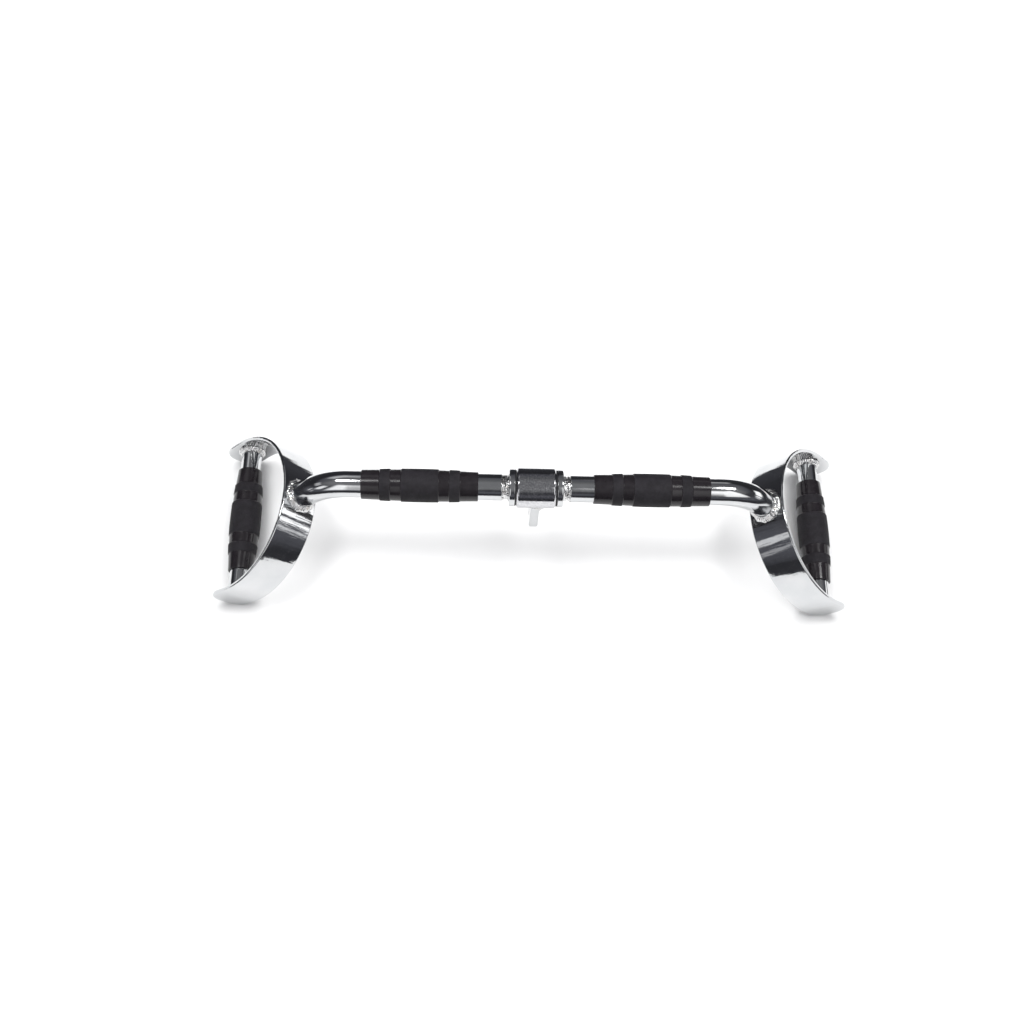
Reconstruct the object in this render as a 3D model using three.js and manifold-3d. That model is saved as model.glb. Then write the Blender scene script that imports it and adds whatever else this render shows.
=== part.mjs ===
// Revolving pull-up / pull-down bar with stirrup handles.
// Two bent tubes are welded to a central spindle. A sleeve turns on the spindle and carries the
// hanger eye. At each end a strap bent to a C is welded on by its crown, and a handle tube spans it.
// Units are millimetres, +Z is up, +X runs along the bar. The origin is on the floor under the
// middle of the bar, which stands on the four rounded tips of its two straps.
import * as THREE from 'three';
import { mergeVertices } from 'three/addons/utils/BufferGeometryUtils.js';
import Module from 'manifold-3d';

// Clearances
const GAP = 0.3; // between pieces that touch or are welded
const RUNNING = 0.2; // radial, between the spindle and its bushes
const OVERCUT = 5; // how far a cutting shape runs past what it cuts

// Bar tubes
const TUBE_R = 14;
const TUBE_WALL = 2.5;
const TUBE_START = 35.5;
const BEND_VERTEX = 218; // where the straight and the sloping centre lines meet
const BEND_R = 56;
const SLOPE = Math.PI / 4; // the ends and the stirrups slope down and out

// Stirrup straps: x runs down the slope from the crown, y along the handle, z across the strap
const CROWN_DROP = 43; // from the bend vertex to the crown, along the slope
const STRAP_R = 88; // to the middle of the strap's thickness
const STRAP_T = 4;
const STRAP_W = 42;
const STRAP_ARC = THREE.MathUtils.degToRad(94); // half of the bent stretch; the legs are straight
const STRAP_REACH = 121; // from the crown to the tips
const TIP_R = 16;

// Handles
const HANDLE_X = 94; // from the crown
const HANDLE_R = 11;
const HANDLE_WALL = 2;
const HANDLE_HALF = 84.7;

// Grips
const GRIP_HALF = 60.5;
const BAR_GRIP_X = 120.5; // middle of each bar grip
const BAR_GRIP_R = [15.5, 17.5]; // at the ends and in the middle
const HANDLE_GRIP_R = [13.2, 16.8];
const GRIP_BANDS = [19.5, 30.5, 41.5]; // from the middle outward: band, groove and ring edges
const GROOVE_DEPTH = 0.7;
const GRIP_EDGE = 1;

// Swivel
const SPINDLE_R = 11;
const SPINDLE_HALF = 62;
const SPINDLE_CHAMFER = 1.5;
const SLEEVE_R = 21;
const SLEEVE_HALF = 20.5;
const SLEEVE_CHAMFER = 1.6;
const BUSH_WALL = 3;
const BUSH_LENGTH = 17;
const WASHER_R = 19.5;
const WASHER_T = 1.2;
const COLLAR_R = 19;
const COLLAR_LENGTH = 6;
const COLLAR_CHAMFER = 1.2;
const WASHER_START = SLEEVE_HALF + GAP;
const COLLAR_END = WASHER_START + WASHER_T + GAP + COLLAR_LENGTH;

// Hanger eye: a plate across the bar's axis, hanging straight down
const EYE_T = 9.5;
const EYE_R = 18;
const EYE_DROP = 53; // from the bar's axis to the hole
const EYE_HOLE_R = 8;
const EYE_FOOT_STEP = 0.6; // each face is cut back by this where the weld lies on it

// Weld beads
const BAR_WELD = 4.5;
const HANDLE_WELD = 4;
const EYE_WELD = 5.5;
const EYE_WELD_ANGLE = THREE.MathUtils.degToRad(75); // to each side of straight down

// Fineness
const ROUND_SIDES = 28;
const SWIVEL_SIDES = 36;
const BEND_STEPS = 8;

// Height of the bar's axis: the lowest point of each tip is on its rounded lower corner.
const BAR_Z = Math.sin(SLOPE) * (CROWN_DROP + STRAP_REACH - TIP_R)
  + Math.cos(SLOPE) * (STRAP_W / 2 - TIP_R) + TIP_R;

const chrome = new THREE.MeshStandardMaterial({ color: 0xd8dadd, roughness: 0.08, metalness: 1 });
const weldMetal = new THREE.MeshStandardMaterial({ color: 0xbdbcb8, roughness: 0.3, metalness: 1 });
const steel = new THREE.MeshStandardMaterial({ color: 0x9a9c9e, roughness: 0.35, metalness: 1 });
const bronze = new THREE.MeshStandardMaterial({ color: 0xb08040, roughness: 0.4, metalness: 1 });
const rubber = new THREE.MeshStandardMaterial({ color: 0x1c1b1d, roughness: 0.7, metalness: 0 });
const nylon = new THREE.MeshStandardMaterial({ color: 0x101012, roughness: 0.6, metalness: 0 });

// ---- solids ----

const wasm = await Module();
wasm.setup();

function toSolid(geometry) {
  const bare = geometry.clone();
  bare.deleteAttribute('normal');
  bare.deleteAttribute('uv');
  const merged = mergeVertices(bare, 1e-4);
  return new wasm.Manifold(new wasm.Mesh({
    numProp: 3,
    vertProperties: new Float32Array(merged.attributes.position.array),
    triVerts: new Uint32Array(merged.index.array),
  }));
}

function toGeometry(solid) {
  const mesh = solid.getMesh();
  const geometry = new THREE.BufferGeometry();
  geometry.setAttribute('position', new THREE.BufferAttribute(mesh.vertProperties, 3));
  geometry.setIndex(new THREE.BufferAttribute(mesh.triVerts, 1));
  geometry.computeVertexNormals();
  return geometry;
}

function addPiece(parent, name, geometry, material) {
  const mesh = new THREE.Mesh(geometry, material);
  mesh.name = name;
  parent.add(mesh);
  return mesh;
}

// A body of revolution about X. The outline's [x, radius] pairs run along the outside from low x
// to high x, and back along the bore if there is one.
function turned(outline, sides) {
  const points = outline.map(([x, radius]) => new THREE.Vector2(radius, x));
  const onAxis = outline[0][1] === 0;
  if (!onAxis) points.push(points[0].clone());
  return new THREE.LatheGeometry(points, sides).rotateZ(-Math.PI / 2);
}

// A straight sleeve from x0 to x1 whose two outer edges are bevelled.
function bevelledSleeve(x0, x1, bore, outer, bevel, sides) {
  return turned([
    [x0, bore], [x0, outer - bevel], [x0 + bevel, outer],
    [x1 - bevel, outer], [x1, outer - bevel], [x1, bore],
  ], sides);
}

// A flat outline drawn in the YZ plane, as y and z, made thick along X and centred on X = 0.
function acrossBar(outline, thickness, curveSegments = 16) {
  const geometry = new THREE.ExtrudeGeometry(outline, {
    depth: thickness, bevelEnabled: false, curveSegments,
  });
  return geometry.translate(0, 0, -thickness / 2).rotateX(Math.PI / 2).rotateZ(Math.PI / 2);
}

// ---- bar tubes ----

// Straight run, bend and sloping run, with nearly all of the sampling in the bend.
class BarLine extends THREE.Curve {
  constructor() {
    super();
    const bendStart = BEND_VERTEX - BEND_R * Math.tan(SLOPE / 2);
    const slopeLength = CROWN_DROP - STRAP_T / 2 - GAP;
    this.stations = [{ x: TUBE_START, z: 0, angle: 0 }];
    for (let i = 0; i <= BEND_STEPS; i += 1) {
      const angle = (SLOPE * i) / BEND_STEPS;
      const x = bendStart + BEND_R * Math.sin(angle);
      this.stations.push({ x, z: -BEND_R * (1 - Math.cos(angle)), angle });
    }
    this.stations.push({
      x: BEND_VERTEX + slopeLength * Math.cos(SLOPE),
      z: -slopeLength * Math.sin(SLOPE),
      angle: SLOPE,
    });
    this.steps = this.stations.length - 1;
  }

  stationAt(u) {
    return this.stations[Math.round(u * this.steps)];
  }

  getPointAt(u, target = new THREE.Vector3()) {
    const { x, z } = this.stationAt(u);
    return target.set(x, 0, z);
  }

  getTangentAt(u, target = new THREE.Vector3()) {
    const { angle } = this.stationAt(u);
    return target.set(Math.cos(angle), 0, -Math.sin(angle));
  }
}

function barTube() {
  const section = new THREE.Shape().absarc(0, 0, TUBE_R, 0, Math.PI * 2);
  section.holes.push(new THREE.Path().absarc(0, 0, TUBE_R - TUBE_WALL, 0, Math.PI * 2));
  const line = new BarLine();
  return new THREE.ExtrudeGeometry(section, {
    extrudePath: line, steps: line.steps, curveSegments: ROUND_SIDES / 2,
  });
}

// ---- stirrups ----

// The C of the strap, seen along its width: an arc with a straight leg at each end.
function strapBand() {
  const outer = STRAP_R + STRAP_T / 2;
  const inner = STRAP_R - STRAP_T / 2;
  const arcEnd = (radius) => new THREE.Vector2(
    STRAP_R - radius * Math.cos(STRAP_ARC), radius * Math.sin(STRAP_ARC),
  );
  const leg = new THREE.Vector2(Math.sin(STRAP_ARC), Math.cos(STRAP_ARC)).multiplyScalar(STRAP_REACH);
  const outerTip = arcEnd(outer).add(leg);
  const innerTip = arcEnd(inner).add(leg);
  const band = new THREE.Shape();
  band.moveTo(outerTip.x, outerTip.y);
  band.absarc(STRAP_R, 0, outer, Math.PI - STRAP_ARC, Math.PI + STRAP_ARC, false);
  band.lineTo(outerTip.x, -outerTip.y);
  band.lineTo(innerTip.x, -innerTip.y);
  band.absarc(STRAP_R, 0, inner, Math.PI + STRAP_ARC, Math.PI - STRAP_ARC, true);
  band.lineTo(innerTip.x, innerTip.y);
  band.closePath();
  const depth = STRAP_W + 2 * OVERCUT;
  const geometry = new THREE.ExtrudeGeometry(band, { depth, bevelEnabled: false, curveSegments: 24 });
  return geometry.translate(0, 0, -depth / 2);
}

// What the strap keeps, seen along the handle: its width, its length and the round tips.
function tipPrism() {
  const half = STRAP_W / 2;
  const cornerX = STRAP_REACH - TIP_R;
  const outline = new THREE.Shape();
  outline.moveTo(-OVERCUT, -half);
  outline.lineTo(cornerX, -half);
  outline.absarc(cornerX, TIP_R - half, TIP_R, -Math.PI / 2, 0, false);
  outline.absarc(cornerX, half - TIP_R, TIP_R, 0, Math.PI / 2, false);
  outline.lineTo(-OVERCUT, half);
  outline.closePath();
  const depth = 2 * (STRAP_R + STRAP_T + OVERCUT);
  const geometry = new THREE.ExtrudeGeometry(outline, { depth, bevelEnabled: false, curveSegments: 8 });
  return geometry.translate(0, 0, -depth / 2).rotateX(Math.PI / 2);
}

function strap() {
  return toGeometry(toSolid(strapBand()).intersect(toSolid(tipPrism())));
}

// The bead round the end of the bar tube follows the round crown of the strap.
function barWeld() {
  const inner = TUBE_R + GAP;
  const outer = TUBE_R + BAR_WELD;
  const face = -STRAP_T / 2;
  const back = face - BAR_WELD - 1;
  const ring = turned([
    [back, inner], [back, inner + 0.6], [face - BAR_WELD / 2, outer - BAR_WELD * 0.35],
    [face, outer], [face + OVERCUT, outer], [face + OVERCUT, inner],
  ], ROUND_SIDES);
  const crownR = STRAP_R + STRAP_T / 2 + GAP;
  const crown = new THREE.CylinderGeometry(crownR, crownR, STRAP_W + OVERCUT, 96);
  crown.rotateX(Math.PI / 2).translate(STRAP_R, 0, 0);
  return toGeometry(toSolid(ring).subtract(toSolid(crown)));
}

function handleWeld() {
  const inner = HANDLE_R + GAP;
  return turned([
    [-HANDLE_WELD, inner], [-HANDLE_WELD, inner + 0.6],
    [-HANDLE_WELD * 0.4, inner + HANDLE_WELD * 0.6], [0, inner + HANDLE_WELD * 0.9], [0, inner],
  ], ROUND_SIDES);
}

// A barrel with a raised middle band and, on each side, a groove, a raised ring and a plain end.
function barrelGrip([endR, middleR], bore) {
  const [bandEdge, grooveEdge, ringEdge] = GRIP_BANDS;
  const crown = (x) => middleR - (middleR - endR) * (x / GRIP_HALF) ** 2;
  const half = [
    [0, middleR],
    [bandEdge, crown(bandEdge)],
    [bandEdge + GROOVE_DEPTH, crown(bandEdge) - GROOVE_DEPTH],
    [grooveEdge - GROOVE_DEPTH, crown(grooveEdge) - GROOVE_DEPTH],
    [grooveEdge, crown(grooveEdge)],
    [ringEdge, crown(ringEdge)],
    [ringEdge + GROOVE_DEPTH, crown(ringEdge) - GROOVE_DEPTH],
    [GRIP_HALF - GRIP_EDGE, endR],
    [GRIP_HALF, endR - GRIP_EDGE],
  ];
  const mirrored = half.slice(1).reverse().map(([x, radius]) => [-x, radius]);
  return turned([[-GRIP_HALF, bore], ...mirrored, ...half, [GRIP_HALF, bore]], ROUND_SIDES);
}

// ---- swivel ----

function spindle() {
  const shoulder = SPINDLE_HALF - SPINDLE_CHAMFER;
  const nose = SPINDLE_R - SPINDLE_CHAMFER;
  return turned([
    [-SPINDLE_HALF, 0], [-SPINDLE_HALF, nose], [-shoulder, SPINDLE_R],
    [shoulder, SPINDLE_R], [SPINDLE_HALF, nose], [SPINDLE_HALF, 0],
  ], SWIVEL_SIDES);
}

// The neck between a collar and its tube: a hollow fillet over the spindle.
function spindleWeld() {
  const from = COLLAR_END + GAP;
  const to = TUBE_START - GAP;
  const inner = SPINDLE_R + GAP;
  const toe = (to - from) * 0.2;
  return turned([
    [from, inner], [from, TUBE_R], [from + toe, inner + 1.6], [(from + to) / 2, inner + 1],
    [to - toe, inner + 1.6], [to, TUBE_R - GAP], [to, inner],
  ], ROUND_SIDES);
}

function eyePlate() {
  const outline = new THREE.Shape();
  outline.moveTo(EYE_R, 0);
  outline.lineTo(-EYE_R, 0);
  outline.absarc(0, -EYE_DROP, EYE_R, Math.PI, Math.PI * 2, false);
  outline.closePath();
  outline.holes.push(new THREE.Path().absarc(0, -EYE_DROP, EYE_HOLE_R, 0, Math.PI * 2));
  const face = EYE_T / 2;
  const step = face - EYE_FOOT_STEP;
  const foot = SLEEVE_R + GAP;
  const top = foot + EYE_WELD + GAP;
  const waist = turned([
    [-face - 1, 0], [-face - 1, top], [-step, top], [-step, foot],
    [step, foot], [step, top], [face + 1, top], [face + 1, 0],
  ], SWIVEL_SIDES);
  return toGeometry(toSolid(acrossBar(outline, EYE_T)).subtract(toSolid(waist)));
}

// A fillet on the sleeve along both faces of the plate's foot, closed round the plate's edges.
function eyeWeld() {
  const foot = SLEEVE_R + GAP;
  const top = foot + EYE_WELD;
  const half = EYE_T / 2;
  const ring = turned([
    [-half - EYE_WELD, foot], [-half - EYE_WELD * 0.4, foot + EYE_WELD * 0.45], [-half - 1, top],
    [half + 1, top], [half + EYE_WELD * 0.4, foot + EYE_WELD * 0.45], [half + EYE_WELD, foot],
  ], SWIVEL_SIDES);
  const side = EYE_R + EYE_WELD * 0.8;
  const reach = new THREE.Shape();
  reach.moveTo(0, 0);
  reach.lineTo(-side, -side / Math.tan(EYE_WELD_ANGLE));
  reach.lineTo(-side, -EYE_DROP);
  reach.lineTo(side, -EYE_DROP);
  reach.lineTo(side, -side / Math.tan(EYE_WELD_ANGLE));
  reach.closePath();
  const kept = toSolid(acrossBar(reach, EYE_DROP));
  const slotWidth = EYE_T - 2 * EYE_FOOT_STEP + 2 * GAP;
  const slot = new THREE.BoxGeometry(slotWidth, 2 * (EYE_R + GAP), 2 * EYE_DROP);
  slot.translate(0, 0, -EYE_DROP);
  return toGeometry(toSolid(ring).intersect(kept).subtract(toSolid(slot)));
}

// ---- assembly ----

const object = new THREE.Group();
const bar = new THREE.Group();
bar.position.z = BAR_Z;
object.add(bar);

addPiece(bar, 'swivel_spindle', spindle(), steel);
const sleeveBore = SPINDLE_R + RUNNING + BUSH_WALL + GAP;
addPiece(
  bar, 'swivel_sleeve',
  bevelledSleeve(-SLEEVE_HALF, SLEEVE_HALF, sleeveBore, SLEEVE_R, SLEEVE_CHAMFER, SWIVEL_SIDES),
  chrome,
);
addPiece(bar, 'hanger_eye', eyePlate(), chrome);
addPiece(bar, 'hanger_eye_weld', eyeWeld(), weldMetal);

// The left side is the right side turned half a turn about Z, so its front and rear change places.
const sides = [
  { side: 'right', turn: 0, ends: ['front', 'rear'] },
  { side: 'left', turn: Math.PI, ends: ['rear', 'front'] },
];
for (const { side, turn, ends } of sides) {
  const half = new THREE.Group();
  half.rotation.z = turn;
  bar.add(half);

  const bushEnd = SLEEVE_HALF - GAP;
  const bushR = SPINDLE_R + RUNNING;
  addPiece(
    half, `${side}_bush`,
    bevelledSleeve(bushEnd - BUSH_LENGTH, bushEnd, bushR, bushR + BUSH_WALL, 0.5, SWIVEL_SIDES),
    bronze,
  );
  addPiece(
    half, `${side}_thrust_washer`,
    bevelledSleeve(WASHER_START, WASHER_START + WASHER_T, bushR, WASHER_R, 0.2, SWIVEL_SIDES),
    nylon,
  );
  addPiece(
    half, `${side}_collar`,
    bevelledSleeve(
      COLLAR_END - COLLAR_LENGTH, COLLAR_END, SPINDLE_R + GAP, COLLAR_R, COLLAR_CHAMFER, SWIVEL_SIDES,
    ),
    chrome,
  );
  addPiece(half, `${side}_spindle_weld`, spindleWeld(), weldMetal);
  addPiece(half, `${side}_bar_tube`, barTube(), chrome);
  const barGrip = addPiece(half, `${side}_bar_grip`, barrelGrip(BAR_GRIP_R, TUBE_R + GAP), rubber);
  barGrip.position.x = BAR_GRIP_X;

  // In the stirrup's frame x runs down the slope from the strap's crown, y runs along the
  // handle and z across the strap.
  const stirrup = new THREE.Group();
  stirrup.position.set(
    BEND_VERTEX + CROWN_DROP * Math.cos(SLOPE), 0, -CROWN_DROP * Math.sin(SLOPE),
  );
  stirrup.rotation.y = SLOPE;
  half.add(stirrup);
  addPiece(stirrup, `${side}_stirrup_strap`, strap(), chrome);
  addPiece(stirrup, `${side}_bar_weld`, barWeld(), weldMetal);

  const handle = new THREE.Group();
  handle.position.x = HANDLE_X;
  handle.rotation.z = Math.PI / 2;
  stirrup.add(handle);
  const handleBore = HANDLE_R - HANDLE_WALL;
  addPiece(
    handle, `${side}_handle_tube`,
    bevelledSleeve(-HANDLE_HALF, HANDLE_HALF, handleBore, HANDLE_R, 0.3, ROUND_SIDES),
    chrome,
  );
  addPiece(handle, `${side}_handle_grip`, barrelGrip(HANDLE_GRIP_R, HANDLE_R + GAP), rubber);
  ends.forEach((end, index) => {
    const weld = addPiece(handle, `${side}_handle_${end}_weld`, handleWeld(), weldMetal);
    const out = index === 0 ? -1 : 1;
    weld.position.x = out * (HANDLE_HALF - GAP);
    weld.rotation.z = out < 0 ? Math.PI : 0;
  });
}

export default object;
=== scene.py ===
from math import atan2, cos, hypot, pi, radians, sin, sqrt, tan

import bmesh
import bpy
from mathutils import Matrix, Vector, noise


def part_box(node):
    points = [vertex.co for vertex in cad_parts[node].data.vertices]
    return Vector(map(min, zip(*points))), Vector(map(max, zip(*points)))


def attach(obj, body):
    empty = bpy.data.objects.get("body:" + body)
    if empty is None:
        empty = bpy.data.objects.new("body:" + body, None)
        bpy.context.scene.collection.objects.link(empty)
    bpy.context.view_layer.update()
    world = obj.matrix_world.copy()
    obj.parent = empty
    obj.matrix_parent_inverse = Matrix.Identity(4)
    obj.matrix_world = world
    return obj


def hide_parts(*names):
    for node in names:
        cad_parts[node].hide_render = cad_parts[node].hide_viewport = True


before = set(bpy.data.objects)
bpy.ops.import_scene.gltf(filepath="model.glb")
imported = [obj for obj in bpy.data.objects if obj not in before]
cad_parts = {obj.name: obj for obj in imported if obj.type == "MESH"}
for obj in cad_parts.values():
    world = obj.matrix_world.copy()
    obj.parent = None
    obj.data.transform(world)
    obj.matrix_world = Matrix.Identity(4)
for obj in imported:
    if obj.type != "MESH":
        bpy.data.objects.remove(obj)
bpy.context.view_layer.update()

MM = 0.001
AXIS_Z = sum(corner.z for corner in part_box("swivel_spindle")) / 2 / MM

# Bar tubes
TUBE_R, TUBE_WALL, TUBE_START = 14, 2.5, 35.5
BEND_VERTEX, BEND_R, SLOPE = 218, 56, radians(45)

# Stirrup straps: x runs down the slope from the crown, y along the handle, z across the strap.
# The crown is CROWN_DROP beyond the bar's bend, and the tube stops TUBE_SHORT before it.
CROWN_DROP, TUBE_SHORT = 43, 2.3
STRAP_R, STRAP_T, STRAP_W = 88, 4, 42
STRAP_ARC, STRAP_REACH, TIP_R = radians(94), 121, 16
STRAP_EDGE = 1.3

# Handles and grips. A grip's plain end is GRIP_END_DROP below the barrel's curve at its tip.
HANDLE_X, HANDLE_R, HANDLE_WALL, HANDLE_HALF = 94, 11, 2, 84.7
HANDLE_END_GAP = 0.9
GRIP_HALF, BAR_GRIP_X = 60.5, 120.5
BAR_GRIP_R, HANDLE_GRIP_R = (15.5, 17.5), (13.2, 16.8)
BAND_EDGE, GROOVE_EDGE, RING_EDGE = 19.5, 30.5, 41.5
GROOVE_DEPTH, GROOVE_WALL = 0.7, 0.35
GRIP_END_DROP = 0.1

# Swivel
BORE_R = 11.3
SLEEVE_R, SLEEVE_BORE, SLEEVE_HALF, SLEEVE_CHAMFER = 21, 14.5, 20.5, 1.7
WASHER_R, WASHER_START, WASHER_END = 18.9, 20.8, 22.0
COLLAR_R, COLLAR_START, COLLAR_END = 19.6, 22.2, 28.3
EYE_T, EYE_R, EYE_DROP, EYE_HOLE_R = 9.5, 18, 53, 8
EYE_EDGE, EYE_HOLE_EDGE = 2.2, 1.6

# Weld beads: how far each reaches from the corner it fills, and the eye's on each side of it
BAR_BEAD, HANDLE_BEAD, EYE_BEAD = 5.1, 4.8, 7.5
EYE_TOE_DOWN, EYE_TOE_OUT = EYE_BEAD * 1.5, EYE_BEAD * 1.1
# How deep a bead's root and toes are sunk, and how far outside a tube its length is measured
ROOT_SUNK, TOE_SUNK, BEAD_MIDDLE = 0.6, 0.1, 2
# The foot of the eye plate: how far inside its cheeks the bead's path runs, and half its length
EYE_FOOT_INSET, EYE_FOOT_HALF = 0.4, EYE_R * 1.12
# The neck between collar and tube: its waist, the flare at its ends, and its laps and lumps
NECK_WAIST, NECK_FLARE, NECK_LAP, NECK_LUMP = 12.2, 1.7, 0.45, 1.1
NECK_MEAN_R, NECK_OVERLAP = 12.5, 0.4
# Scalloped laps along every bead, and how far they wander up and down
RIPPLE_PITCH, RIPPLE_HEIGHT, RIPPLE_WANDER = 2.3, 0.45, 0.7
UNEVENNESS = 0.28

# Fineness of the meshes, and the steps round a strap's rim in degrees
ROUND_SIDES, FINE_SIDES = 96, 128
STEP = 2.0
RINGS_PER_LAP, STEPS_ACROSS_BEAD = 8, 8
RIM_ANGLES = (-90, -67, -45, -22, -1, 1, 22, 45, 67, 90)


# ---- places ----

def bar_place(side):
    """Frame of one half of the bar: x runs from the middle towards that end."""
    return Matrix.Translation((0, 0, AXIS_Z)) @ Matrix.Rotation(pi if side == "left" else 0, 4, "Z")


def stirrup_place(side):
    """Frame of a stirrup, which starts at the middle of its strap's crown."""
    crown = (BEND_VERTEX + CROWN_DROP * cos(SLOPE), 0, -CROWN_DROP * sin(SLOPE))
    return bar_place(side) @ Matrix.Translation(crown) @ Matrix.Rotation(SLOPE, 4, "Y")


def handle_place(side):
    """Frame of a handle: x runs along its tube."""
    along = Matrix.Translation((HANDLE_X, 0, 0)) @ Matrix.Rotation(pi / 2, 4, "Z")
    return stirrup_place(side) @ along


def direction(azimuth, elevation):
    """Unit vector to a place round the object. Azimuth is from the front towards +X."""
    level = cos(elevation)
    return Vector((sin(azimuth) * level, -cos(azimuth) * level, sin(elevation)))


# ---- mesh building ----

def shown_object(name, data):
    made = bpy.data.objects.new(name, data)
    bpy.context.scene.collection.objects.link(made)
    return made


def piece_from(name, verts, faces, place, materials, body, nodes, pick=None):
    """Makes a piece of the object from a mesh in local mm. pick(centre) gives the material index
    of the face with that centre."""
    mesh = bpy.data.meshes.new(name)
    mesh.from_pydata([tuple(v) for v in verts], [], faces)
    for material in materials:
        mesh.materials.append(material)
    if pick:
        for face in mesh.polygons:
            face.material_index = pick(face.center)
    build = bmesh.new()
    build.from_mesh(mesh)
    bmesh.ops.recalc_face_normals(build, faces=build.faces)
    build.to_mesh(mesh)
    build.free()
    mesh.transform(Matrix.Scale(MM, 4) @ place)
    mesh.shade_smooth()
    piece = shown_object(name, mesh)
    weigh_normals(piece)
    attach(piece, body)
    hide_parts(*nodes)
    return piece


def weigh_normals(piece):
    """Large faces keep their own direction, so that only the rounded edges turn the light."""
    full_weight = 90
    piece.modifiers.new("even_faces", "WEIGHTED_NORMAL").weight = full_weight
    bpy.context.view_layer.update()
    shown = piece.evaluated_get(bpy.context.evaluated_depsgraph_get())
    finished = bpy.data.meshes.new_from_object(shown)
    finished.name = piece.name
    piece.modifiers.clear()
    piece.data = finished


def band_of_faces(a, b, size):
    """Faces between two closed rings of size points, which start at points a and b."""
    return [(a + j, a + (j + 1) % size, b + (j + 1) % size, b + j) for j in range(size)]


def skin(rings):
    """A closed skin over equal closed rings, where the last ring joins the first."""
    count, size = len(rings), len(rings[0])
    verts = [point for ring in rings for point in ring]
    faces = []
    for i in range(count):
        faces += band_of_faces(i * size, (i + 1) % count * size, size)
    return verts, faces


def rounded(corners, steps=5):
    """A closed outline from (x, y, radius) corners, each corner turned into a smooth curve."""
    most_of_side = 0.49
    outline = []
    for i, (x, y, radius) in enumerate(corners):
        if radius == 0:
            outline.append((x, y))
            continue
        here = Vector((x, y))
        before = Vector(corners[i - 1][:2]) - here
        after = Vector(corners[(i + 1) % len(corners)][:2]) - here
        reach = min(radius, before.length * most_of_side, after.length * most_of_side)
        start, end = here + before.normalized() * reach, here + after.normalized() * reach
        for k in range(steps + 1):
            t = k / steps
            outline.append(tuple(start * (1 - t) ** 2 + here * 2 * t * (1 - t) + end * t * t))
    return outline


def dense(outline, step=STEP):
    """The same closed outline with long stretches cut into short ones."""
    points = []
    for (x0, y0), (x1, y1) in zip(outline, outline[1:] + outline[:1]):
        cuts = max(1, int(hypot(x1 - x0, y1 - y0) / step))
        points += [(x0 + (x1 - x0) * k / cuts, y0 + (y1 - y0) * k / cuts) for k in range(cuts)]
    return points


def straight(s):
    """Centre and the two cross directions at distance s along a straight axis."""
    return Vector((s, 0, 0)), Vector((0, 1, 0)), Vector((0, 0, 1))


def bar_line(s):
    """The bar tube's line: a straight run, the bend, and the run down the slope."""
    bend_start = BEND_VERTEX - BEND_R * tan(SLOPE / 2)
    run = TUBE_START + s - bend_start
    if run <= 0:
        return Vector((TUBE_START + s, 0, 0)), Vector((0, 1, 0)), Vector((0, 0, 1))
    turn = min(run / BEND_R, SLOPE)
    along, across = Vector((cos(turn), 0, -sin(turn))), Vector((sin(turn), 0, cos(turn)))
    centre = Vector((bend_start + BEND_R * sin(turn), 0, -BEND_R * (1 - cos(turn))))
    return centre + along * (run - turn * BEND_R), Vector((0, 1, 0)), across


def turned(outline, line=straight, sides=ROUND_SIDES):
    """An (s, radius) outline turned about a line."""
    places = [(line(s), radius) for s, radius in outline]
    rings = []
    for i in range(sides):
        c, w = cos(2 * pi * i / sides), sin(2 * pi * i / sides)
        rings.append([p + y * (r * c) + z * (r * w) for (p, y, z), r in places])
    return skin(rings)


# ---- materials ----

class Finish:
    """A Principled material with short calls for the procedural parts of it."""

    def __init__(self, name, metallic, **constants):
        self.material = bpy.data.materials.new(name)
        self.material.use_nodes = True
        self.tree = self.material.node_tree
        self.shader = self.tree.nodes["Principled BSDF"]
        self.shader.inputs["Metallic"].default_value = metallic
        for socket, value in constants.items():
            self.shader.inputs[socket.replace("_", " ")].default_value = value
        self.place = self.tree.nodes.new("ShaderNodeTexCoord").outputs["Object"]
        self.normal = None

    def node(self, kind, **values):
        made = self.tree.nodes.new(kind)
        for name, value in values.items():
            if hasattr(made, name):
                setattr(made, name, value)
            else:
                made.inputs[name.replace("_", " ")].default_value = value
        return made

    def link(self, start, end):
        self.tree.links.new(start, end)

    def stretched(self, scale):
        mapping = self.node("ShaderNodeMapping", Scale=scale)
        self.link(self.place, mapping.inputs["Vector"])
        return mapping.outputs["Vector"]

    def noise(self, scale, detail=3, roughness=0.55, stretch=(1, 1, 1)):
        made = self.node("ShaderNodeTexNoise", Scale=scale, Detail=detail, Roughness=roughness)
        self.link(self.stretched(stretch), made.inputs["Vector"])
        return made.outputs["Fac"]

    def cells(self, scale):
        made = self.node("ShaderNodeTexVoronoi", Scale=scale)
        self.link(self.place, made.inputs["Vector"])
        return made.outputs["Distance"]

    def colours(self, value, low, high, start=0.35, end=0.65):
        ramp = self.node("ShaderNodeValToRGB")
        for stop, colour, position in zip(ramp.color_ramp.elements, (low, high), (start, end)):
            stop.color, stop.position = (*colour, 1), position
        self.link(value, ramp.inputs["Fac"])
        self.link(ramp.outputs["Color"], self.shader.inputs["Base Color"])

    def roughness(self, value, low, high, start=0.3, end=0.7):
        span = self.node("ShaderNodeMapRange", From_Min=start, From_Max=end, To_Min=low, To_Max=high)
        self.link(value, span.inputs["Value"])
        self.link(span.outputs["Result"], self.shader.inputs["Roughness"])

    def bump(self, height, depth_mm):
        made = self.node("ShaderNodeBump", Strength=1.0, Distance=depth_mm * MM)
        self.link(height, made.inputs["Height"])
        if self.normal:
            self.link(self.normal, made.inputs["Normal"])
        self.normal = made.outputs["Normal"]
        self.link(self.normal, self.shader.inputs["Normal"])


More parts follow.
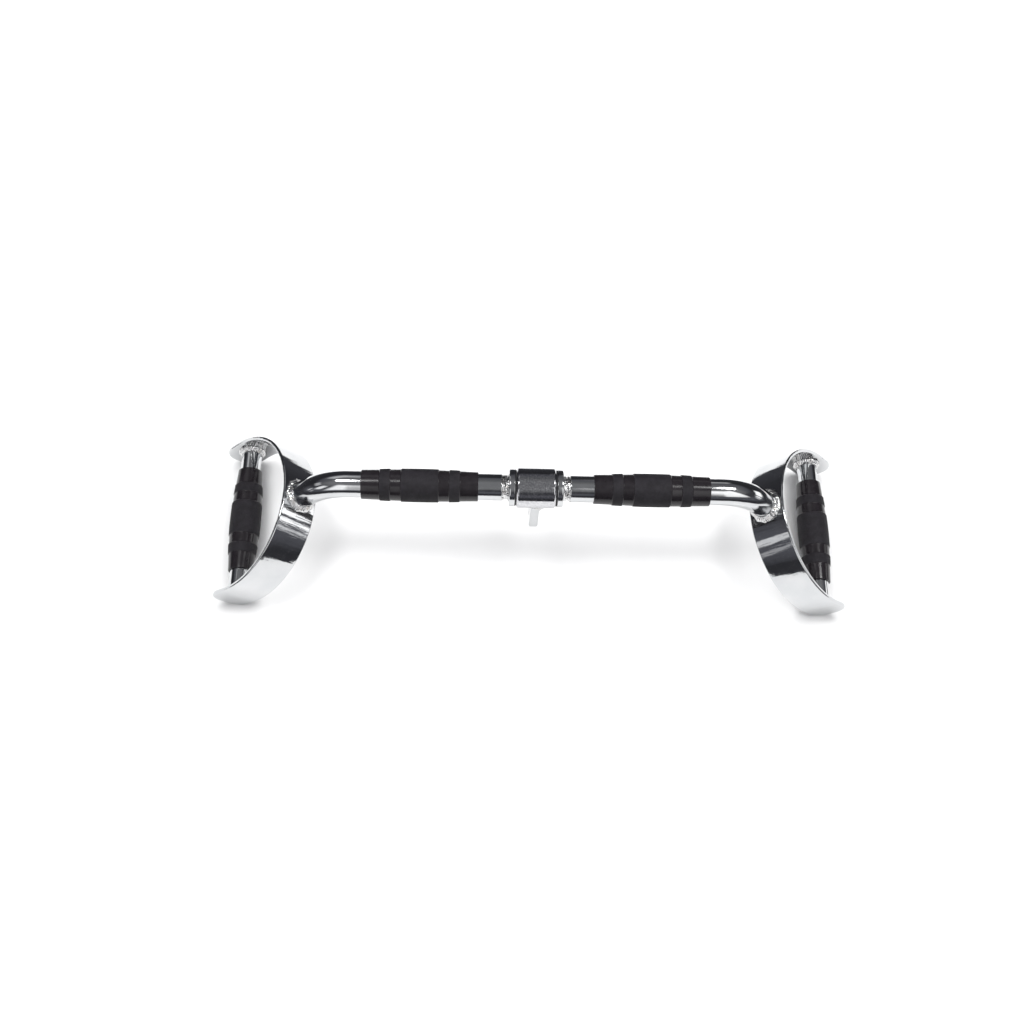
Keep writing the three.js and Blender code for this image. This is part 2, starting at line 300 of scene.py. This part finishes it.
def chrome(name, clear, cloudy, wave_mm, pit_mm, speck_mm, slope=None):
    """Bright plating: faint clouding, fine marks and the waviness of hand polishing. With a
    slope, it also has the low waves that bending leaves across a flat bar on that slope."""
    finish = Finish(name, 1.0)
    finish.colours(finish.noise(40, 4), (0.56, 0.57, 0.58), (0.62, 0.625, 0.63))
    finish.roughness(finish.noise(90, 6), clear, cloudy)
    finish.bump(finish.noise(24, 1), wave_mm)
    finish.bump(finish.noise(170, 2), pit_mm)
    finish.bump(finish.noise(420, 2), speck_mm)
    finish.bump(finish.noise(1100, 4), 0.002)
    if slope is not None:
        level = finish.node("ShaderNodeMapping", Rotation=(0, slope, 0))
        finish.link(finish.place, level.inputs["Vector"])
        finish.place = level.outputs["Vector"]
        finish.bump(finish.noise(75, 2, stretch=(1, 1, 0.10)), 0.30)
        finish.bump(finish.noise(210, 2, stretch=(1, 1, 0.14)), 0.11)
    return finish.material


def worn_chrome():
    """The sleeve's plating, mottled and speckled by handling."""
    finish = Finish("sleeve_chrome", 1.0)
    finish.colours(finish.noise(620, 3), (0.46, 0.46, 0.48), (0.64, 0.64, 0.65), 0.38, 0.62)
    finish.roughness(finish.noise(260, 4), 0.06, 0.16)
    finish.bump(finish.noise(24, 1), 0.03)
    finish.bump(finish.noise(200, 2), 0.045)
    finish.bump(finish.noise(650, 3), 0.022)
    return finish.material


def plated_weld():
    """The beads are plated too, but lumpy under it, with a little brown in the hollows."""
    finish = Finish("plated_weld", 1.0)
    finish.colours(finish.noise(260, 4), (0.50, 0.47, 0.44), (0.68, 0.68, 0.68), 0.28, 0.48)
    finish.roughness(finish.noise(500, 5), 0.08, 0.24)
    finish.bump(finish.noise(300, 2), 0.26)
    finish.bump(finish.noise(800, 2), 0.07)
    return finish.material


def smooth_rubber():
    """Glossy moulded rubber of the grip ends and grooves."""
    finish = Finish("smooth_rubber", 0.0, Specular_IOR_Level=0.34)
    finish.colours(finish.noise(120, 4), (0.0100, 0.0085, 0.0100), (0.0140, 0.0120, 0.0140))
    finish.roughness(finish.noise(300, 4), 0.13, 0.22)
    finish.bump(finish.noise(60, 2), 0.05)
    finish.bump(finish.noise(1800, 3), 0.01)
    return finish.material


def textured_rubber():
    """Matte moulded rubber of the raised bands, with a fine pebbled grain."""
    finish = Finish("textured_rubber", 0.0, Specular_IOR_Level=0.26)
    finish.colours(finish.noise(160, 5), (0.0100, 0.0090, 0.0108), (0.0150, 0.0136, 0.0165))
    finish.roughness(finish.noise(700, 3), 0.62, 0.80)
    finish.bump(finish.cells(1250), 0.12)
    finish.bump(finish.noise(3200, 2), 0.04)
    return finish.material


def turned_steel():
    """The spindle's steel, with fine marks round its axis."""
    finish = Finish("turned_steel", 1.0)
    finish.colours(finish.noise(60, 4), (0.36, 0.36, 0.37), (0.48, 0.48, 0.48))
    finish.roughness(finish.noise(900, 4, stretch=(1, 0.02, 0.02)), 0.24, 0.42)
    finish.bump(finish.noise(1400, 3, stretch=(1, 0.02, 0.02)), 0.02)
    return finish.material


def bronze():
    """Bush metal with oil darkening."""
    finish = Finish("bush_bronze", 1.0)
    finish.colours(finish.noise(180, 5), (0.30, 0.17, 0.06), (0.55, 0.34, 0.14))
    finish.roughness(finish.noise(500, 4), 0.30, 0.50)
    finish.bump(finish.noise(1200, 3), 0.03)
    return finish.material


def nylon():
    """Matte black nylon of the thrust washers."""
    finish = Finish("washer_nylon", 0.0)
    finish.colours(finish.noise(300, 4), (0.008, 0.008, 0.009), (0.016, 0.016, 0.018))
    finish.roughness(finish.noise(600, 3), 0.45, 0.65)
    finish.bump(finish.noise(2000, 3), 0.02)
    return finish.material


STRAP_FINISH = {"clear": 0.03, "cloudy": 0.09, "wave_mm": 0.30, "pit_mm": 0.045, "speck_mm": 0.009}
MATERIALS = {
    "tube": chrome("tube_chrome", clear=0.06, cloudy=0.13, wave_mm=0.05, pit_mm=0.016, speck_mm=0.003),
    "right_strap": chrome("right_strap_chrome", slope=-SLOPE, **STRAP_FINISH),
    "left_strap": chrome("left_strap_chrome", slope=SLOPE, **STRAP_FINISH),
    "collar": chrome("collar_chrome", clear=0.07, cloudy=0.15, wave_mm=0.03, pit_mm=0.020, speck_mm=0.004),
    "sleeve": worn_chrome(),
    "weld": plated_weld(),
    "smooth": smooth_rubber(),
    "textured": textured_rubber(),
    "steel": turned_steel(),
    "bronze": bronze(),
    "nylon": nylon(),
}


# ---- bar tubes and grips ----

def add_bar_tube(side):
    bend = BEND_R * SLOPE - 2 * BEND_R * tan(SLOPE / 2)
    length = BEND_VERTEX - TUBE_START + bend + CROWN_DROP - TUBE_SHORT
    bore = TUBE_R - TUBE_WALL
    outline = rounded([(0, bore, 0), (0, TUBE_R, 0.8), (length, TUBE_R, 0.4), (length, bore, 0)])
    verts, faces = turned(dense(outline), bar_line)
    piece_from(f"{side}_tube", verts, faces, bar_place(side), [MATERIALS["tube"]],
               "bar", [f"{side}_bar_tube"])


def grip_outline(end_r, middle_r, bore):
    """A barrel with a raised middle band and, on each side, a groove, a ring and a plain end."""
    def crown(x):
        return middle_r - (middle_r - end_r) * (x / GRIP_HALF) ** 2

    def low(x):
        return crown(x) - GROOVE_DEPTH

    edge, end_edge = 0.3, 1.3
    half = []
    for x, inner, outer in ((BAND_EDGE, crown, low), (GROOVE_EDGE, low, crown),
                            (RING_EDGE, crown, low)):
        half += [(x - GROOVE_WALL, inner(x), edge), (x + GROOVE_WALL, outer(x), edge)]
    half += [(GRIP_HALF, end_r - GRIP_END_DROP, end_edge), (GRIP_HALF, bore, 0)]
    band = [(x, crown(x), 0) for x in range(-16, 17, 4)]
    mirrored = [(-x, r, radius) for x, r, radius in reversed(half)]
    return dense(rounded(mirrored + band + half, 3), 3.0)


def on_textured_band(point):
    """Material index: 1 on the matte bands, 0 on the glossy ends and grooves."""
    x = abs(point.x)
    return int(x < BAND_EDGE or GROOVE_EDGE < x < RING_EDGE)


def add_grip(name, radii, bore, place, node):
    verts, faces = turned(grip_outline(*radii, bore))
    piece_from(name, verts, faces, place, [MATERIALS["smooth"], MATERIALS["textured"]],
               "bar", [node], on_textured_band)


# ---- stirrups ----

def bent(s, w, t):
    """Point of the strap at s along it, w across it and t above its middle, after bending."""
    turn = min(max(s / STRAP_R, -STRAP_ARC), STRAP_ARC)
    leg = s - turn * STRAP_R
    r = STRAP_R + t
    return Vector((STRAP_R - r * cos(turn) + leg * sin(turn), r * sin(turn) + leg * cos(turn), w))


def strap_rows():
    """One long side of the flat strap: (s, w, and the outward direction) at each row."""
    arc_end = STRAP_R * STRAP_ARC
    end = arc_end + (STRAP_REACH - STRAP_R * (1 - cos(STRAP_ARC))) / sin(STRAP_ARC)
    corner, half = end - TIP_R, STRAP_W / 2
    count, turns = int(2 * corner / STEP), 10
    rows = [(-corner + 2 * corner * i / count, half, 0.0, 1.0) for i in range(count + 1)]
    for i in range(1, turns + 1):
        a = pi / 2 * i / turns
        rows.append((corner + TIP_R * sin(a), half - TIP_R + TIP_R * cos(a), sin(a), cos(a)))
    start = [(-s, w, -ns, nw) for s, w, ns, nw in reversed(rows[count + 1:])]
    return start + rows


def strap_mesh(columns=6):
    """A flat plate with a rounded rim, bent as it is made."""
    rows = strap_rows()
    last = len(rows) - 1
    tip, end_half = rows[-1][0], rows[-1][1]
    across = [end_half * (1 - 2 * j / columns) for j in range(1, columns)]
    loop = rows + [(tip, w, 1.0, 0.0) for w in across]
    loop += [(s, -w, ns, -nw) for s, w, ns, nw in reversed(rows)]
    loop += [(-tip, -w, -1.0, 0.0) for w in across]
    size = len(loop)
    flat = STRAP_T / 2 - STRAP_EDGE
    rim = []
    for angle in RIM_ANGLES:
        inset, rise = STRAP_EDGE * (1 - cos(radians(angle))), STRAP_EDGE * sin(radians(angle))
        rim.append((inset, (flat if angle > 0 else -flat) + rise))
    verts = [bent(s - ns * inset, w - nw * inset, t) for inset, t in rim for s, w, ns, nw in loop]
    faces = []
    for k in range(len(rim) - 1):
        faces += band_of_faces(k * size, (k + 1) * size, size)
    for first, t in ((0, -STRAP_T / 2), ((len(rim) - 1) * size, STRAP_T / 2)):
        grid = []
        for i, (s, w, ns, nw) in enumerate(rows):
            left, right = first + i, first + 2 * last + columns - i
            if i == 0:
                middle = [first + size - 1 - j for j in range(columns - 1)]
            elif i == last:
                middle = [first + last + 1 + j for j in range(columns - 1)]
            else:
                middle = [len(verts) + j for j in range(columns - 1)]
                edge_w = w - nw * STRAP_EDGE
                verts += [bent(s - ns * STRAP_EDGE, edge_w * (1 - 2 * j / columns), t)
                          for j in range(1, columns)]
            grid.append([left, *middle, right])
        for a, b in zip(grid, grid[1:]):
            faces += [(a[j], a[j + 1], b[j + 1], b[j]) for j in range(columns)]
    return verts, faces


def add_strap(side):
    verts, faces = strap_mesh()
    piece_from(f"{side}_strap", verts, faces, stirrup_place(side), [MATERIALS[f"{side}_strap"]],
               "bar", [f"{side}_stirrup_strap"])


def add_handle_tube(side):
    bore = HANDLE_R - HANDLE_WALL
    ends = [(-HANDLE_HALF, bore, 0), (-HANDLE_HALF, HANDLE_R, 0.5),
            (HANDLE_HALF, HANDLE_R, 0.5), (HANDLE_HALF, bore, 0)]
    verts, faces = turned(dense(rounded(ends), 8))
    piece_from(f"{side}_handle", verts, faces, handle_place(side), [MATERIALS["tube"]],
               "bar", [f"{side}_handle_tube"])


# ---- welds ----

def ripple(distance, across, seed):
    """Height of the scalloped laps of a bead at a distance along it, across from -1 to 1."""
    wander = noise.noise(Vector((distance * 0.12, across * 0.4, seed)))
    bow, drift = 0.35 * across * across, 0.5 * wander
    lap = distance / RIPPLE_PITCH + bow + drift
    scallop = 1 - abs(2 * (lap % 1) - 1) ** 2
    return RIPPLE_HEIGHT * (scallop - 0.5) + RIPPLE_WANDER * wander


def bead(corner, on_first, on_second, length, seed, swell=0.16):
    """Skin of a fillet bead. corner, on_first and on_second give points round its closed path:
    the corner it fills and the two toes. length is the path's length, and swell is how far the
    bead bulges, as a share of its depth."""
    count = int(length / RIPPLE_PITCH * RINGS_PER_LAP)
    rings = []
    for i in range(count):
        u = i / count
        root, first, second = corner(u), on_first(u), on_second(u)
        middle = (first + second) / 2
        out = (middle - root).normalized()
        ring = [root]
        for k in range(STEPS_ACROSS_BEAD + 1):
            v = k / STEPS_ACROSS_BEAD
            bulge = swell * (middle - root).length + ripple(u * length, 2 * v - 1, seed)
            bulge *= 4 * v * (1 - v)
            ring.append(first.lerp(second, v) + out * bulge)
        rings.append(ring)
    return skin(rings)


def on_circle(u, radius):
    """(y, z) at u from 0 to 1 round a circle."""
    return radius * cos(2 * pi * u), radius * sin(2 * pi * u)


def uneven(u, seed):
    """How full a bead is, against its mean, at u from 0 to 1 round its path."""
    return 1 + UNEVENNESS * noise.noise(Vector((*on_circle(u, 3), seed)))


def strap_face(y):
    """x of the strap's outer face beside its crown."""
    outer = STRAP_R + STRAP_T / 2
    return STRAP_R - sqrt(outer * outer - y * y)


def add_bar_weld(side):
    """A bead round the end of the bar tube, on the strap's crown."""
    def at(u, radius, lift):
        y, z = on_circle(u, radius)
        return Vector((strap_face(y) - lift, y, z))

    def size(u):
        return BAR_BEAD * uneven(u, len(side))

    verts, faces = bead(
        lambda u: at(u, TUBE_R - ROOT_SUNK, lift=-0.3),
        lambda u: at(u, TUBE_R - TOE_SUNK, lift=size(u)),
        lambda u: at(u, TUBE_R + size(u + 0.5), lift=-TOE_SUNK),
        2 * pi * (TUBE_R + BEAD_MIDDLE), len(side))
    piece_from(f"{side}_crown_bead", verts, faces, stirrup_place(side), [MATERIALS["weld"]],
               "bar", [f"{side}_bar_weld"])


def add_handle_welds(side):
    """A bead at each end of a handle tube. The left side's frame is turned, so its ends swap."""
    ends = ("front", "rear") if side == "right" else ("rear", "front")
    for sign, end in zip((-1, 1), ends):
        def at(u, radius, lift):
            return Vector((sign * (HANDLE_HALF + HANDLE_END_GAP - lift), *on_circle(u, radius)))

        def size(u):
            return HANDLE_BEAD * uneven(u, len(side) + 10 * sign)

        verts, faces = bead(
            lambda u: at(u, HANDLE_R - ROOT_SUNK, lift=-0.2),
            lambda u: at(u, HANDLE_R - TOE_SUNK, lift=size(u)),
            lambda u: at(u, HANDLE_R + 0.9 * size(u + 0.5), lift=0),
            2 * pi * (HANDLE_R + BEAD_MIDDLE), len(side) + sign)
        piece_from(f"{side}_handle_{end}_bead", verts, faces, handle_place(side),
                   [MATERIALS["weld"]], "bar", [f"{side}_handle_{end}_weld"])


def add_neck_weld(side):
    """Two runs of bead over the spindle, between the collar and the tube."""
    start, end = COLLAR_END - TOE_SUNK, TUBE_START + NECK_OVERLAP
    sections, across, rings = 360, 14, []
    for i in range(sections):
        a = 2 * pi * i / sections
        ring = [Vector((start, BORE_R * cos(a), BORE_R * sin(a)))]
        for k in range(across + 1):
            v = k / across
            waist = NECK_WAIST + NECK_FLARE * abs(2 * v - 1) ** 3 + NECK_LAP * abs(sin(2 * pi * v))
            lump = NECK_LUMP * noise.noise(Vector((4 * v, 2 * cos(a), 2 * sin(a) + len(side))))
            laps = ripple(a * NECK_MEAN_R, 2 * v - 1, k // 8) / 2
            radius = waist + lump + laps
            ring.append(Vector((start + (end - start) * v, radius * cos(a), radius * sin(a))))
        ring.append(Vector((end, BORE_R * cos(a), BORE_R * sin(a))))
        rings.append(ring)
    verts, faces = skin(rings)
    piece_from(f"{side}_neck_bead", verts, faces, bar_place(side), [MATERIALS["weld"]],
               "bar", [f"{side}_spindle_weld"])


# ---- swivel ----

def add_sleeve():
    edge = [(SLEEVE_HALF, SLEEVE_BORE, 0.4), (SLEEVE_HALF, SLEEVE_R - SLEEVE_CHAMFER, 0.5),
            (SLEEVE_HALF - SLEEVE_CHAMFER, SLEEVE_R, 0.8)]
    other = [(-x, r, radius) for x, r, radius in edge]
    verts, faces = turned(dense(rounded(other + edge[::-1], 4), 5), sides=FINE_SIDES)
    piece_from("sleeve", verts, faces, bar_place("right"), [MATERIALS["sleeve"]],
               "hanger", ["swivel_sleeve"])


def add_collar(side):
    ring = [(COLLAR_START, BORE_R, 0.2), (COLLAR_START, COLLAR_R, 0.4),
            (COLLAR_END, COLLAR_R, 1.6), (COLLAR_END, BORE_R, 0.2)]
    verts, faces = turned(rounded(ring), sides=FINE_SIDES)
    piece_from(f"{side}_end_collar", verts, faces, bar_place(side), [MATERIALS["collar"]],
               "bar", [f"{side}_collar"])


def add_washer(side):
    ring = [(WASHER_START, BORE_R, 0.1), (WASHER_START, WASHER_R, 0.25),
            (WASHER_END, WASHER_R, 0.25), (WASHER_END, BORE_R, 0.1)]
    verts, faces = turned(rounded(ring, 3), sides=FINE_SIDES)
    piece_from(f"{side}_washer", verts, faces, bar_place(side), [MATERIALS["nylon"]],
               "bar", [f"{side}_thrust_washer"])


def eye_reach(a):
    """Distance from the hole's centre to the plate's edge at angle a from straight down, and how
    far the edge leans from square to that direction."""
    y, z = sin(a), -cos(a)
    if z <= 0:
        return EYE_R, 0.0
    out_of_reach = 1e9
    side = EYE_R / abs(y) if abs(y) > 1e-6 else out_of_reach
    foot, top = SLEEVE_R - ROOT_SUNK, out_of_reach
    if EYE_DROP * abs(y) < foot:
        top = EYE_DROP * z - sqrt(foot * foot - (EYE_DROP * y) ** 2)
    if top < side:
        return top, 0.0
    return side, abs(pi / 2 - abs(atan2(y, -z)))


def add_eye():
    """The eye plate, as sections that fan out from its hole. A section that meets the plate's
    edge at a slant needs a longer rounding."""
    sections, half, least_slant = 180, EYE_T / 2, 0.4
    rings = []
    for i in range(sections):
        a = 2 * pi * i / sections
        reach, lean = eye_reach(a)
        edge = EYE_EDGE / max(cos(lean), least_slant)
        section = rounded([(EYE_HOLE_R, -half, EYE_HOLE_EDGE), (reach, -half, edge),
                           (reach, half, edge), (EYE_HOLE_R, half, EYE_HOLE_EDGE)], 6)
        rings.append([Vector((x, r * sin(a), -EYE_DROP - r * cos(a))) for r, x in section])
    verts, faces = skin(rings)
    piece_from("eye_plate", verts, faces, bar_place("right"), [MATERIALS["collar"]],
               "hanger", ["hanger_eye"])


def oval_point(u, half_x, half_y, corner):
    """Point at u from 0 to 1 round a rounded rectangle."""
    corner = min(corner, half_x, half_y)
    flat_x, flat_y = half_x - corner, half_y - corner
    turn = corner * pi / 2
    stretches = [2 * flat_y, turn, 2 * flat_x, turn, 2 * flat_y, turn, 2 * flat_x, turn]
    left = (u % 1) * sum(stretches)
    corners = [(1, 1), (-1, 1), (-1, -1), (1, -1)]
    runs = [((1, -1), (0, 1)), ((1, 1), (-1, 0)), ((-1, 1), (0, -1)), ((-1, -1), (1, 0))]
    for i, stretch in enumerate(stretches):
        if left > stretch:
            left -= stretch
            continue
        which = i // 2
        if i % 2 == 0:
            (sx, sy), (dx, dy) = runs[which]
            x0 = sx * half_x if dx == 0 else sx * flat_x
            y0 = sy * half_y if dy == 0 else sy * flat_y
            return x0 + dx * left, y0 + dy * left
        sx, sy = corners[which]
        a = pi / 2 * which + left / corner
        return sx * flat_x + corner * cos(a), sy * flat_y + corner * sin(a)
    return half_x, -flat_y  # left over by rounding, where the path closes


def foot_path(u, grow):
    """(x, angle round the sleeve) of the eye plate's foot, grown outward, at u from 0 to 1. It
    grows less round the sleeve than along it."""
    half_x, half_y = EYE_T / 2 - EYE_FOOT_INSET + grow, EYE_FOOT_HALF + 0.8 * grow
    x, y = oval_point(u, half_x, half_y, corner=2.0 + grow)
    return x, y / SLEEVE_R


def add_eye_weld():
    """A bead on the sleeve, round the foot of the eye plate. Its other toe is down the plate."""
    def at(u, grow, lift, drop=0):
        x, a = foot_path(u, grow)
        r = SLEEVE_R + lift
        return Vector((x, r * sin(a), -r * cos(a) - drop))

    verts, faces = bead(
        lambda u: at(u, -ROOT_SUNK, -ROOT_SUNK),
        lambda u: at(u, TOE_SUNK, 0, EYE_TOE_DOWN),
        lambda u: at(u, EYE_TOE_OUT, -TOE_SUNK),
        2 * (EYE_T + 2 * EYE_FOOT_HALF), seed=7, swell=-0.26)
    piece_from("eye_bead", verts, faces, bar_place("right"), [MATERIALS["weld"]],
               "hanger", ["hanger_eye_weld"])


# ---- the object ----

add_sleeve()
add_eye()
add_eye_weld()
for side in ("right", "left"):
    add_bar_tube(side)
    add_strap(side)
    add_handle_tube(side)
    grip_place = bar_place(side) @ Matrix.Translation((BAR_GRIP_X, 0, 0))
    add_grip(f"{side}_hand_grip", BAR_GRIP_R, TUBE_R + 0.3, grip_place, f"{side}_bar_grip")
    add_grip(f"{side}_stirrup_grip", HANDLE_GRIP_R, HANDLE_R + 0.3, handle_place(side),
             f"{side}_handle_grip")
    add_bar_weld(side)
    add_handle_welds(side)
    add_neck_weld(side)
    add_collar(side)
    add_washer(side)

for node, finish in (("swivel_spindle", "steel"), ("right_bush", "bronze"), ("left_bush", "bronze")):
    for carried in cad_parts[node].material_slots:
        carried.material = MATERIALS[finish]


# ---- floor, light and camera ----

# Metres. The floor is whole inside FLOOR_CLEAR and has faded away at FLOOR_HALF.
FLOOR_HALF, FLOOR_CLEAR, FLOOR_FORWARD = (1.1, 0.38), (0.80, 0.33), 0.08


def faded(finish, along, start, end):
    """1 inside start and 0 beyond end, to both sides of the middle along one axis."""
    size = finish.node("ShaderNodeMath", operation="ABSOLUTE")
    finish.link(along, size.inputs[0])
    span = finish.node("ShaderNodeMapRange", From_Min=start, From_Max=end, To_Min=1.0, To_Max=0.0)
    span.interpolation_type = "SMOOTHSTEP"
    finish.link(size.outputs[0], span.inputs["Value"])
    return span.outputs["Result"]


def add_floor():
    """A pale sheet to stand on, which fades into the backdrop at its rim."""
    build = bmesh.new()
    bmesh.ops.create_grid(build, x_segments=24, y_segments=10, size=1.0)
    mesh = bpy.data.meshes.new("floor")
    build.to_mesh(mesh)
    build.free()
    mesh.transform(Matrix.Diagonal((*FLOOR_HALF, 1, 1)))
    floor = shown_object("floor", mesh)
    floor.location.y = -FLOOR_FORWARD
    finish = Finish("floor_paper", 0.0, Specular_IOR_Level=0.1)
    finish.colours(finish.noise(6, 4), (0.80, 0.80, 0.80), (0.82, 0.82, 0.82))
    finish.roughness(finish.noise(40, 3), 0.8, 0.95)
    finish.bump(finish.noise(700, 3), 0.02)
    place = finish.node("ShaderNodeSeparateXYZ")
    finish.link(finish.place, place.inputs[0])
    kept = finish.node("ShaderNodeMath", operation="MULTIPLY")
    for socket, along, start, end in zip(kept.inputs, place.outputs, FLOOR_CLEAR, FLOOR_HALF):
        finish.link(faded(finish, along, start, end), socket)
    blend = finish.node("ShaderNodeMixShader")
    finish.link(kept.outputs[0], blend.inputs["Fac"])
    finish.link(finish.node("ShaderNodeBsdfTransparent").outputs["BSDF"], blend.inputs[1])
    finish.link(finish.shader.outputs["BSDF"], blend.inputs[2])
    finish.link(blend.outputs["Shader"], finish.tree.nodes["Material Output"].inputs["Surface"])
    mesh.materials.append(finish.material)


def add_light(name, azimuth, elevation, distance, size, power):
    """A soft box that faces the middle of the bar, at angles in degrees."""
    away = direction(radians(azimuth), radians(elevation))
    light = bpy.data.lights.new(name, "AREA")
    light.shape, light.size, light.size_y, light.energy = "RECTANGLE", *size, power
    box = shown_object(name, light)
    wide = (Vector((1, 0, 0)) - away * away.x).normalized()
    axes = Matrix((wide, away.cross(wide), away)).transposed().to_4x4()
    box.matrix_world = Matrix.Translation(Vector((0, 0, AXIS_Z * MM)) + away * distance) @ axes
    box.visible_camera = False
    return box


# The dim room that the chrome mirrors: how bright it is at each elevation, to the front and back,
# its tint, which is bluer below BLUE_UNDER degrees, and the backdrop that only the camera sees.
ROOM_FRONT = [(-15, 0.05), (-1, 0.04), (4, 0.09), (8, 0.12), (17, 0.12), (24, 0.06), (34, 0.06),
              (42, 0.17), (52, 0.24)]
ROOM_BACK = [(-10, 0.06), (0, 0.04), (26, 0.03), (38, 0.12), (60, 0.16), (78, 0.24)]
RED, GREEN, BLUE, MORE_BLUE, BLUE_UNDER = 0.97, 0.98, 1.02, 1.12, 40
BACKDROP = 1.3
# White screens round it: azimuth and elevation of the middle, half width, half height, level and
# how soft the edges are.
SCREENS = {
    "front_left": (-19, 31, 13, 20, 1.35, 6),
    "front_right": (35, 45, 21, 22, 1.4, 4),
    "left": (-53, 28, 8, 9, 1.3, 4),
    "left_high": (-86, 34, 12, 5, 0.55, 3),
    "left_low": (-69.5, 14, 2.7, 5, 0.8, 2),
    "left_low_edge": (-57, 10, 3, 4, 0.35, 2),
    "right_low": (101, 15, 13, 7, 1.7, 2),
    "right_low_middle": (79.5, 14, 3, 6, 1.7, 2),
    "right_low_edge": (70.5, 12, 2.2, 5, 0.85, 2),
    "back_left": (-152, 48, 22, 9, 0.50, 4),
    "back_right": (166, 29, 6, 6, 0.45, 4),
}


class Room:
    """World nodes with short calls for what they compute from the direction looked in."""

    def __init__(self):
        world = bpy.data.worlds.new("room")
        bpy.context.scene.world = world
        world.use_nodes = True
        self.tree = world.node_tree
        self.tree.nodes.clear()
        parts = self.node("ShaderNodeSeparateXYZ")
        self.link(self.node("ShaderNodeTexCoord").outputs["Generated"], parts.inputs[0])
        self.x, self.y, self.z = parts.outputs
        turn = self.math("ARCTAN2", self.x, self.math("MULTIPLY", self.y, -1))
        self.azimuth = self.math("MULTIPLY", turn, 180 / pi)
        self.elevation = self.math("MULTIPLY", self.math("ARCSINE", self.z), 180 / pi)

    def node(self, kind):
        return self.tree.nodes.new(kind)

    def link(self, start, end):
        self.tree.links.new(start, end)

    def math(self, operation, *values):
        made = self.node("ShaderNodeMath")
        made.operation = operation
        for socket, value in zip(made.inputs, values):
            if isinstance(value, (int, float)):
                socket.default_value = value
            else:
                self.link(value, socket)
        return made.outputs[0]

    def step(self, value, start, end):
        """Rises smoothly from 0 at start to 1 at end."""
        made = self.node("ShaderNodeMapRange")
        made.interpolation_type = "SMOOTHSTEP"
        made.inputs["From Min"].default_value = start
        made.inputs["From Max"].default_value = end
        self.link(value, made.inputs["Value"])
        return made.outputs["Result"]

    def by_elevation(self, levels):
        ramp = self.node("ShaderNodeValToRGB")
        stops = ramp.color_ramp.elements
        stops.remove(stops[1])
        for i, (elevation, level) in enumerate(levels):
            position = (elevation + 90) / 180
            stop = stops[0] if i == 0 else stops.new(position)
            blue = MORE_BLUE if elevation < BLUE_UNDER else BLUE
            stop.position, stop.color = position, (level * RED, level * GREEN, level * blue, 1)
        self.link(self.math("DIVIDE", self.math("ADD", self.elevation, 90), 180), ramp.inputs["Fac"])
        return ramp.outputs["Color"]

    def screen(self, azimuth, elevation, half_width, half_height, level, soft):
        across = self.math("ABSOLUTE", self.math("SUBTRACT", self.azimuth, azimuth))
        up = self.math("ABSOLUTE", self.math("SUBTRACT", self.elevation, elevation))
        inside = self.math("MULTIPLY",
                          self.step(across, half_width + soft, half_width - soft),
                          self.step(up, half_height + soft, half_height - soft))
        return self.math("MULTIPLY", inside, level)

    def background(self, colour, strength=1.0):
        made = self.node("ShaderNodeBackground")
        if isinstance(colour, tuple):
            made.inputs["Color"].default_value = colour
        else:
            self.link(colour, made.inputs["Color"])
        if isinstance(strength, float):
            made.inputs["Strength"].default_value = strength
        else:
            self.link(strength, made.inputs["Strength"])
        return made.outputs[0]

    def shaders(self, kind, first, second, factor=None):
        made = self.node(kind)
        if factor is not None:
            self.link(factor, made.inputs["Fac"])
        self.link(first, made.inputs[-2])
        self.link(second, made.inputs[-1])
        return made.outputs[0]


def add_room():
    """Dim room and white screens for the chrome, and a white backdrop for the camera."""
    room = Room()
    front = room.background(room.by_elevation(ROOM_FRONT))
    back = room.background(room.by_elevation(ROOM_BACK))
    shown = room.shaders("ShaderNodeMixShader", front, back, room.step(room.y, -0.2, 0.2))
    light = None
    for values in SCREENS.values():
        level = room.screen(*values)
        light = level if light is None else room.math("MAXIMUM", light, level)
    shown = room.shaders("ShaderNodeAddShader", shown, room.background((1, 1, 1, 1), light))
    backdrop = room.background((1, 1, 1, 1), BACKDROP)
    by_camera = room.node("ShaderNodeLightPath").outputs["Is Camera Ray"]
    shown = room.shaders("ShaderNodeMixShader", shown, backdrop, by_camera)
    room.link(shown, room.node("ShaderNodeOutputWorld").inputs["Surface"])


# The camera's distance is to the middle of the bar, which stands this far off the picture's
# centre, to the right and up, at that distance.
LENS, DISTANCE = 45.70, 1.3531
ELEVATION, AZIMUTH, ROLL = radians(64.52), radians(-4.03), radians(4.85)
BAR_OFF_CENTRE = (0.02484, 0.02492)


def add_camera():
    back = direction(AZIMUTH, ELEVATION)
    level = Vector((cos(AZIMUTH), sin(AZIMUTH), 0))
    right = level * cos(ROLL) + back.cross(level) * sin(ROLL)
    top = back.cross(right)
    where = Vector((0, 0, AXIS_Z * MM)) + back * DISTANCE
    where -= right * BAR_OFF_CENTRE[0] + top * BAR_OFF_CENTRE[1]
    data = bpy.data.cameras.new("camera")
    data.lens, data.sensor_width = LENS, 36
    camera = shown_object("camera", data)
    axes = Matrix((right, top, back)).transposed().to_4x4()
    camera.matrix_world = Matrix.Translation(where) @ axes
    bpy.context.scene.camera = camera


add_floor()
add_light("left_soft_box", azimuth=-98, elevation=68, distance=1.5, size=(0.48, 0.30), power=5.5)
add_light("right_soft_box", azimuth=105, elevation=62, distance=1.5, size=(0.45, 0.30), power=5.5)
fill = add_light("overhead_fill", azimuth=180, elevation=80, distance=1.6, size=(2.0, 1.6), power=42)
fill.visible_glossy = False
add_room()
add_camera()
bpy.context.scene.view_settings.view_transform = "Standard"
